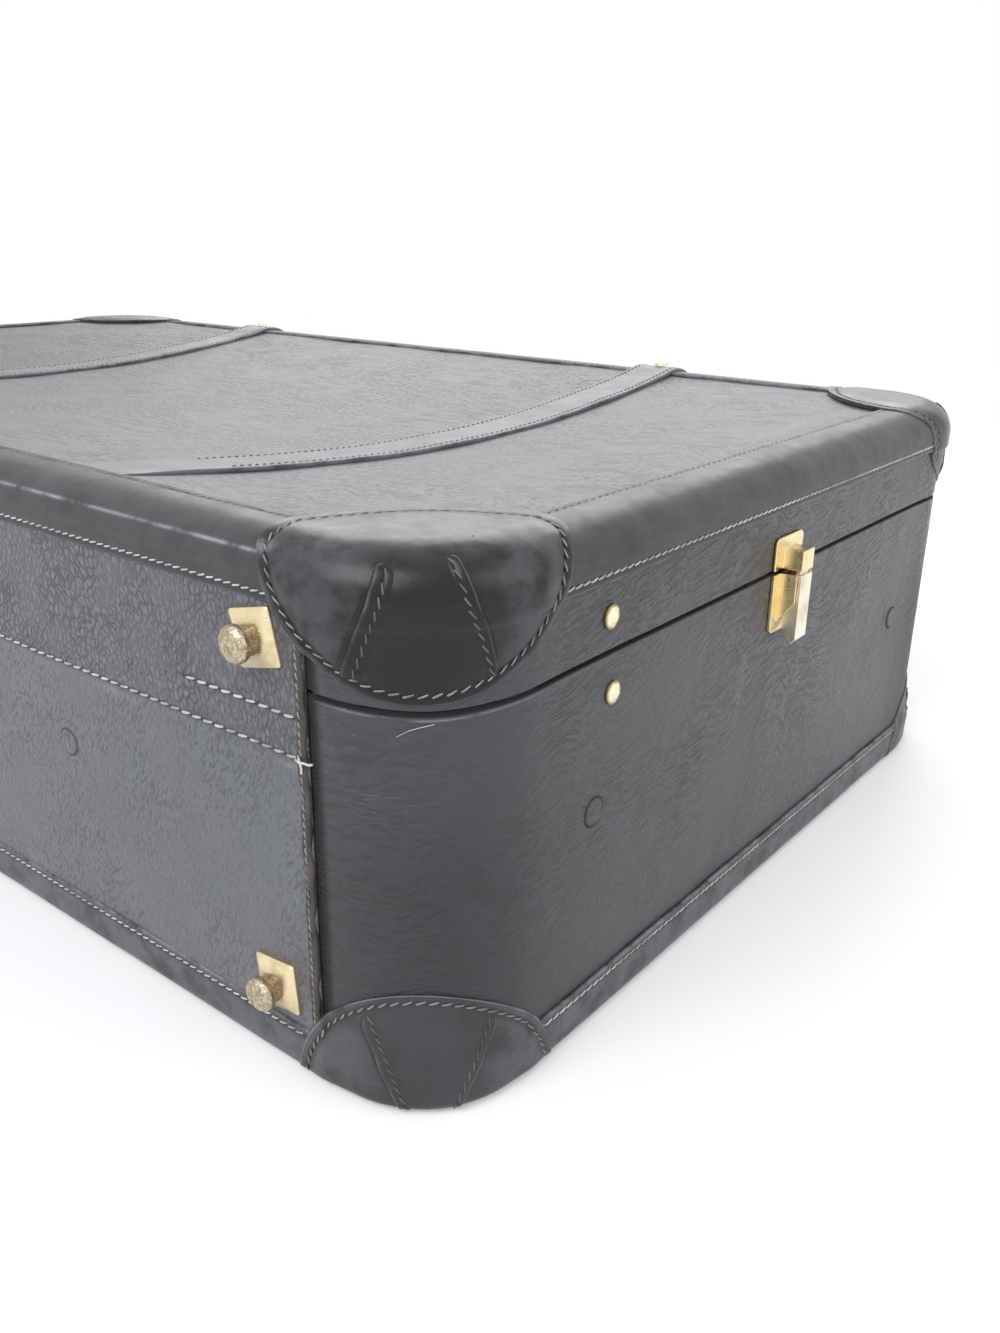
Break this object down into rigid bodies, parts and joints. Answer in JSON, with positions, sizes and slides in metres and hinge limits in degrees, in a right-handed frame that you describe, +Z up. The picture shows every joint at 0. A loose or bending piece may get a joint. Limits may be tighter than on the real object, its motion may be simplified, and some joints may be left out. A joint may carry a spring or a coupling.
{
  "type": "suitcase",
  "caption": "Leather-covered rigid suitcase with a hinged lid on folding stays, end clasps, hasp locks, a carrying handle, corner caps and brass feet.",
  "frame": {"origin": "middle of the underside, on the floor", "axes": "+X along the length, +Y towards the leather hinge at the back, +Z up; the handle and locks face -Y"},
  "size_m": [0.79, 0.4826, 0.2026],
  "materials": {
    "cover_leather": "pebbled, worn semi-matt",
    "trim_leather": "smooth, scuffed, saddle stitched",
    "brass": "worn, brushed",
    "board": "matt pressed board",
    "lining": "woven cotton"
  },
  "bodies": {
    "base": {"base_back_cover": "cover_leather", "base_binding": "trim_leather", "base_cap_back_left": "trim_leather", "base_cap_back_right": "trim_leather", "base_cap_front_left": "trim_leather", "base_cap_front_right": "trim_leather", "base_foot_plates": "brass", "base_foot_studs": "brass", "base_lining": "lining", "base_shell": "board", "base_side_cover": "cover_leather", "base_stay_posts": "brass", "base_stay_rivets": "brass", "bottom_panel": "cover_leather", "clasp_pins": "brass", "clasp_plate_left": "brass", "clasp_plate_right": "brass", "covered_rivets": "trim_leather", "handle_bracket_left": "brass", "handle_bracket_right": "brass", "handle_pins": "brass", "lock_case_left": "brass", "lock_case_right": "brass", "rim_tongue": "board"},
    "lid": {"clasp_keeper_left": "brass", "clasp_keeper_right": "brass", "hasp_pins": "brass", "hasp_plate_left": "brass", "hasp_plate_right": "brass", "lid_back_cover": "cover_leather", "lid_binding": "trim_leather", "lid_cap_back_left": "trim_leather", "lid_cap_back_right": "trim_leather", "lid_cap_front_left": "trim_leather", "lid_cap_front_right": "trim_leather", "lid_foot_plates": "brass", "lid_foot_studs": "brass", "lid_lining": "lining", "lid_shell": "board", "lid_side_cover": "cover_leather", "lid_stay_posts": "brass", "lid_stay_rivets": "brass", "lid_strap_left": "trim_leather", "lid_strap_right": "trim_leather", "lid_top_cover": "cover_leather", "strap_rivets": "brass"},
    "clasp_lever_left": {"clasp_lever_left": "brass"},
    "hasp_left": {"hasp_left": "brass"},
    "lock_button_left": {"lock_button_left": "brass"},
    "lid_stay_link_left": {"lid_stay_link_left": "brass"},
    "base_stay_link_left": {"base_stay_link_left": "brass"},
    "clasp_lever_right": {"clasp_lever_right": "brass"},
    "hasp_right": {"hasp_right": "brass"},
    "lock_button_right": {"lock_button_right": "brass"},
    "lid_stay_link_right": {"lid_stay_link_right": "brass"},
    "base_stay_link_right": {"base_stay_link_right": "brass"},
    "handle": {"handle_grip": "trim_leather", "handle_fitting_left": "brass", "handle_fitting_right": "brass"}
  },
  "joints": [
    {"name": "lid_hinge", "type": "hinge", "parent": "base", "child": "lid", "pos_m": [0, 0.2261, 0.151], "axis": [-1, 0, 0], "range_deg": [0, 95]},
    {"name": "clasp_turn_left", "type": "hinge", "parent": "base", "child": "clasp_lever_left", "pos_m": [-0.3905, 0, 0.1412], "axis": [0, 1, 0], "range_deg": [0, 18], "stiffness_Nm_per_rad": 0.06},
    {"name": "hasp_turn_left", "type": "hinge", "parent": "lid", "child": "hasp_left", "pos_m": [-0.15, -0.2292, 0.1688], "axis": [-1, 0, 0], "range_deg": [0, 100]},
    {"name": "lock_slide_left", "type": "slide", "parent": "base", "child": "lock_button_left", "axis": [-1, 0, 0], "range_m": [0, 0.005], "stiffness_N_per_m": 150},
    {"name": "lid_stay_turn_left", "type": "hinge", "parent": "lid", "child": "lid_stay_link_left", "pos_m": [-0.37255, 0.135, 0.164], "axis": [1, 0, 0], "range_deg": [0, 128.36]},
    {"name": "base_stay_turn_left", "type": "hinge", "parent": "base", "child": "base_stay_link_left", "pos_m": [-0.36945, 0.132, 0.1355], "axis": [-1, 0, 0], "range_deg": [0, 116.47]},
    {"name": "clasp_turn_right", "type": "hinge", "parent": "base", "child": "clasp_lever_right", "pos_m": [0.3905, 0, 0.1412], "axis": [0, -1, 0], "range_deg": [0, 18], "stiffness_Nm_per_rad": 0.06},
    {"name": "hasp_turn_right", "type": "hinge", "parent": "lid", "child": "hasp_right", "pos_m": [0.15, -0.2292, 0.1688], "axis": [-1, 0, 0], "range_deg": [0, 100]},
    {"name": "lock_slide_right", "type": "slide", "parent": "base", "child": "lock_button_right", "axis": [1, 0, 0], "range_m": [0, 0.005], "stiffness_N_per_m": 150},
    {"name": "lid_stay_turn_right", "type": "hinge", "parent": "lid", "child": "lid_stay_link_right", "pos_m": [0.37255, 0.135, 0.164], "axis": [1, 0, 0], "range_deg": [0, 128.36]},
    {"name": "base_stay_turn_right", "type": "hinge", "parent": "base", "child": "base_stay_link_right", "pos_m": [0.36945, 0.132, 0.1355], "axis": [-1, 0, 0], "range_deg": [0, 116.47]},
    {"name": "handle_turn", "type": "hinge", "parent": "base", "child": "handle", "pos_m": [0, -0.236, 0.105], "axis": [-1, 0, 0], "range_deg": [0, 170]}
  ],
  "couplings": [
    {"joint": "lid_stay_turn_left", "follows": "lid_hinge", "ratio": 1.3458},
    {"joint": "base_stay_turn_left", "follows": "lid_hinge", "ratio": 1.2208},
    {"joint": "lid_stay_turn_right", "follows": "lid_hinge", "ratio": 1.3458},
    {"joint": "base_stay_turn_right", "follows": "lid_hinge", "ratio": 1.2208}
  ]
}
